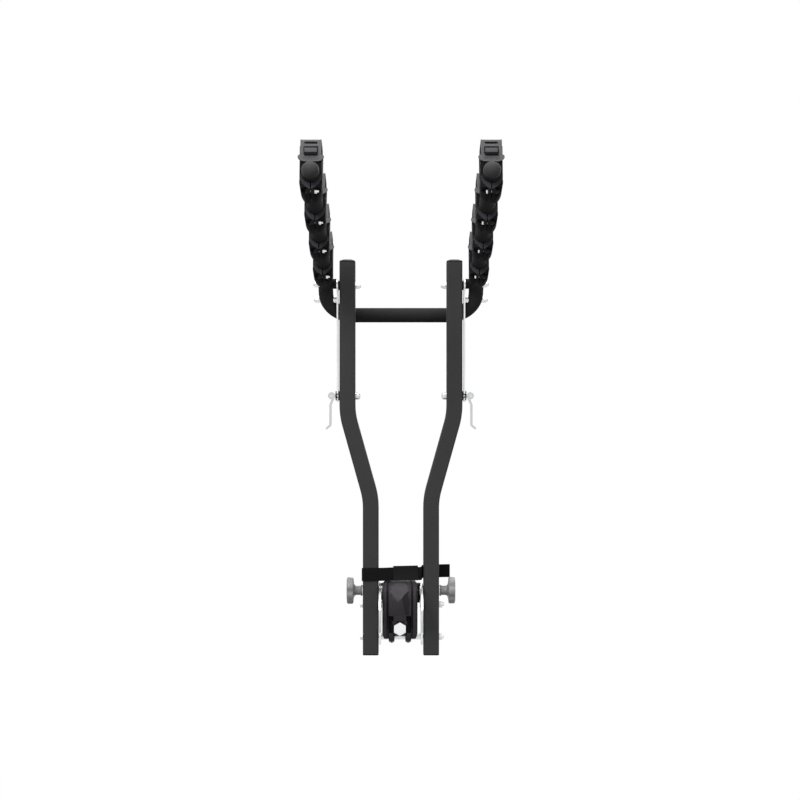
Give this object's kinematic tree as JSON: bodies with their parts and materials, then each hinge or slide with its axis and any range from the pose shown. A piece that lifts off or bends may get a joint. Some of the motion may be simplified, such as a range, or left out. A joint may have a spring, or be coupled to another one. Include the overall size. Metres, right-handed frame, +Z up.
{
  "type": "hitch bike rack",
  "caption": "Tow-ball bike rack: a cranked post mast on a ball coupling, with padded fold-down arms, tube cradles, rubber straps and quick-release locks.",
  "frame": {"origin": "centre of the tow ball that the coupling clamps", "axes": "+Z up, +X to the right as seen from behind the car, +Y towards the car, so the arms reach out along -Y"},
  "size_m": [0.3342, 0.6911, 0.8999],
  "materials": {
    "post_paint": "satin powder coat",
    "arm_paint": "satin powder coat",
    "cap_plastic": "moulded",
    "plated_steel": "bright zinc",
    "bracket_zinc": "bright zinc",
    "bolt_zinc": "bright zinc",
    "dome_zinc": "bright zinc",
    "lever_zinc": "bright zinc",
    "screw_zinc": "bright zinc",
    "screw_black": "black oxide",
    "spacer_plastic": "moulded",
    "knob_plastic": "moulded",
    "lever_plastic": "moulded",
    "cup_paint": "black paint",
    "webbing": "woven",
    "slide_plastic": "moulded",
    "cradle_plastic": "moulded",
    "strap_rubber": "moulded"
  },
  "bodies": {
    "coupling": {"left_bracket_plate": "bracket_zinc", "right_bracket_plate": "bracket_zinc", "ball_cup": "cup_paint", "cup_screws": "screw_black", "jaw_pin": "bolt_zinc", "pivot_tube": "bolt_zinc", "tilt_pivot_bolt": "bolt_zinc", "tilt_pivot_nut": "bolt_zinc"},
    "clamp_jaw": {"clamp_jaw": "cup_paint"},
    "clamp_lever": {"clamp_lever": "lever_plastic", "screw_block": "screw_black"},
    "pressure_pad": {"pressure_pad": "bolt_zinc"},
    "clamp_screw": {"clamp_screw": "screw_zinc"},
    "mast": {"left_post": "post_paint", "right_post": "post_paint", "post_top_caps": "cap_plastic", "post_bottom_caps": "cap_plastic", "guide_bolts": "bolt_zinc", "knob_bolts": "bolt_zinc", "mast_nuts": "bolt_zinc", "mast_washers": "spacer_plastic", "arm_pivot_bolts": "bolt_zinc", "lock_saddles": "spacer_plastic", "safety_strap": "webbing", "strap_slide": "slide_plastic"},
    "arms": {"arm_tube": "arm_paint", "arm_end_caps": "cap_plastic", "left_arm_plate": "plated_steel", "right_arm_plate": "plated_steel", "plate_studs": "plated_steel", "stud_spacers": "spacer_plastic", "stud_nuts": "bolt_zinc", "left_cradle_1": "cradle_plastic", "left_cradle_2": "cradle_plastic", "left_cradle_3": "cradle_plastic", "left_cradle_4": "cradle_plastic", "right_cradle_1": "cradle_plastic", "right_cradle_2": "cradle_plastic", "right_cradle_3": "cradle_plastic", "right_cradle_4": "cradle_plastic", "strap_pins": "bolt_zinc", "cradle_screws": "bolt_zinc"},
    "left_strap_1": {"left_strap_1": "strap_rubber"},
    "left_strap_2": {"left_strap_2": "strap_rubber"},
    "left_strap_3": {"left_strap_3": "strap_rubber"},
    "left_strap_4": {"left_strap_4": "strap_rubber"},
    "right_strap_1": {"right_strap_1": "strap_rubber"},
    "right_strap_2": {"right_strap_2": "strap_rubber"},
    "right_strap_3": {"right_strap_3": "strap_rubber"},
    "right_strap_4": {"right_strap_4": "strap_rubber"},
    "left_lock_rod": {"left_lock_rod": "bolt_zinc", "left_dome_nut": "dome_zinc"},
    "left_lock_lever": {"left_lock_lever": "lever_zinc"},
    "left_knob_washer": {"left_knob_washer": "bolt_zinc"},
    "left_knob": {"left_knob": "knob_plastic"},
    "right_lock_rod": {"right_lock_rod": "bolt_zinc", "right_dome_nut": "dome_zinc"},
    "right_lock_lever": {"right_lock_lever": "lever_zinc"},
    "right_knob_washer": {"right_knob_washer": "bolt_zinc"},
    "right_knob": {"right_knob": "knob_plastic"}
  },
  "joints": [
    {"name": "mast_tilt", "type": "hinge", "parent": "coupling", "child": "mast", "pos_m": [0, -0.048, -0.062], "axis": [1, 0, 0], "range_deg": [0, 40]},
    {"name": "arm_fold", "type": "hinge", "parent": "mast", "child": "arms", "pos_m": [0, -0.048, 0.609], "axis": [1, 0, 0], "range_deg": [0, 88]},
    {"name": "clamp_lever_open", "type": "hinge", "parent": "coupling", "child": "clamp_lever", "pos_m": [0, -0.048, -0.062], "axis": [1, 0, 0], "range_deg": [0, 75]},
    {"name": "jaw_swing", "type": "hinge", "parent": "coupling", "child": "clamp_jaw", "pos_m": [0, -0.031, 0.031], "axis": [1, 0, 0], "range_deg": [-6, 0]},
    {"name": "pad_slide", "type": "slide", "parent": "clamp_lever", "child": "pressure_pad", "axis": [0, 1, 0], "range_m": [-0.006, 0]},
    {"name": "screw_turn", "type": "hinge", "parent": "pressure_pad", "child": "clamp_screw", "pos_m": [-0.002, -0.08, -0.043], "axis": [0, -1, 0], "range_deg": [0, 1080]},
    {"name": "left_lock_rod_slide", "type": "slide", "parent": "mast", "child": "left_lock_rod", "axis": [1, 0, 0], "range_m": [0, 0.00084]},
    {"name": "left_lock_lever_open", "type": "hinge", "parent": "left_lock_rod", "child": "left_lock_lever", "pos_m": [-0.1332, -0.048, 0.398], "axis": [0, 1, 0], "range_deg": [0, 120]},
    {"name": "left_knob_washer_slide", "type": "slide", "parent": "mast", "child": "left_knob_washer", "axis": [-1, 0, 0], "range_m": [0, 0.0051]},
    {"name": "left_knob_turn", "type": "hinge", "parent": "left_knob_washer", "child": "left_knob", "pos_m": [-0.09, -0.048, 0.026], "axis": [-1, 0, 0], "range_deg": [0, 1440]},
    {"name": "left_strap_1_lift", "type": "hinge", "parent": "arms", "child": "left_strap_1", "pos_m": [-0.1435, -0.57319, 0.76285], "axis": [-1, 0, 0], "range_deg": [0, 110], "deforming": ["left_strap_1"]},
    {"name": "left_strap_2_lift", "type": "hinge", "parent": "arms", "child": "left_strap_2", "pos_m": [-0.1435, -0.42734, 0.72784], "axis": [-1, 0, 0], "range_deg": [0, 110], "deforming": ["left_strap_2"]},
    {"name": "left_strap_3_lift", "type": "hinge", "parent": "arms", "child": "left_strap_3", "pos_m": [-0.1435, -0.28148, 0.69282], "axis": [-1, 0, 0], "range_deg": [0, 110], "deforming": ["left_strap_3"]},
    {"name": "left_strap_4_lift", "type": "hinge", "parent": "arms", "child": "left_strap_4", "pos_m": [-0.1435, -0.13563, 0.6578], "axis": [-1, 0, 0], "range_deg": [0, 110], "deforming": ["left_strap_4"]},
    {"name": "right_lock_rod_slide", "type": "slide", "parent": "mast", "child": "right_lock_rod", "axis": [-1, 0, 0], "range_m": [0, 0.00084]},
    {"name": "right_lock_lever_open", "type": "hinge", "parent": "right_lock_rod", "child": "right_lock_lever", "pos_m": [0.1332, -0.048, 0.398], "axis": [0, -1, 0], "range_deg": [0, 120]},
    {"name": "right_knob_washer_slide", "type": "slide", "parent": "mast", "child": "right_knob_washer", "axis": [1, 0, 0], "range_m": [0, 0.0051]},
    {"name": "right_knob_turn", "type": "hinge", "parent": "right_knob_washer", "child": "right_knob", "pos_m": [0.09, -0.048, 0.026], "axis": [1, 0, 0], "range_deg": [0, 1440]},
    {"name": "right_strap_1_lift", "type": "hinge", "parent": "arms", "child": "right_strap_1", "pos_m": [0.1435, -0.57319, 0.76285], "axis": [-1, 0, 0], "range_deg": [0, 110], "deforming": ["right_strap_1"]},
    {"name": "right_strap_2_lift", "type": "hinge", "parent": "arms", "child": "right_strap_2", "pos_m": [0.1435, -0.42734, 0.72784], "axis": [-1, 0, 0], "range_deg": [0, 110], "deforming": ["right_strap_2"]},
    {"name": "right_strap_3_lift", "type": "hinge", "parent": "arms", "child": "right_strap_3", "pos_m": [0.1435, -0.28148, 0.69282], "axis": [-1, 0, 0], "range_deg": [0, 110], "deforming": ["right_strap_3"]},
    {"name": "right_strap_4_lift", "type": "hinge", "parent": "arms", "child": "right_strap_4", "pos_m": [0.1435, -0.13563, 0.6578], "axis": [-1, 0, 0], "range_deg": [0, 110], "deforming": ["right_strap_4"]}
  ],
  "couplings": [
    {"joint": "jaw_swing", "follows": "clamp_lever_open", "ratio": -0.08},
    {"joint": "screw_turn", "follows": "pad_slide", "rad_per_m": -3141.6},
    {"joint": "left_lock_rod_slide", "follows": "left_lock_lever_open", "m_per_rad": 0.0004},
    {"joint": "left_knob_washer_slide", "follows": "left_knob_turn", "m_per_rad": 0.00019894},
    {"joint": "right_lock_rod_slide", "follows": "right_lock_lever_open", "m_per_rad": 0.0004},
    {"joint": "right_knob_washer_slide", "follows": "right_knob_turn", "m_per_rad": 0.00019894}
  ]
}
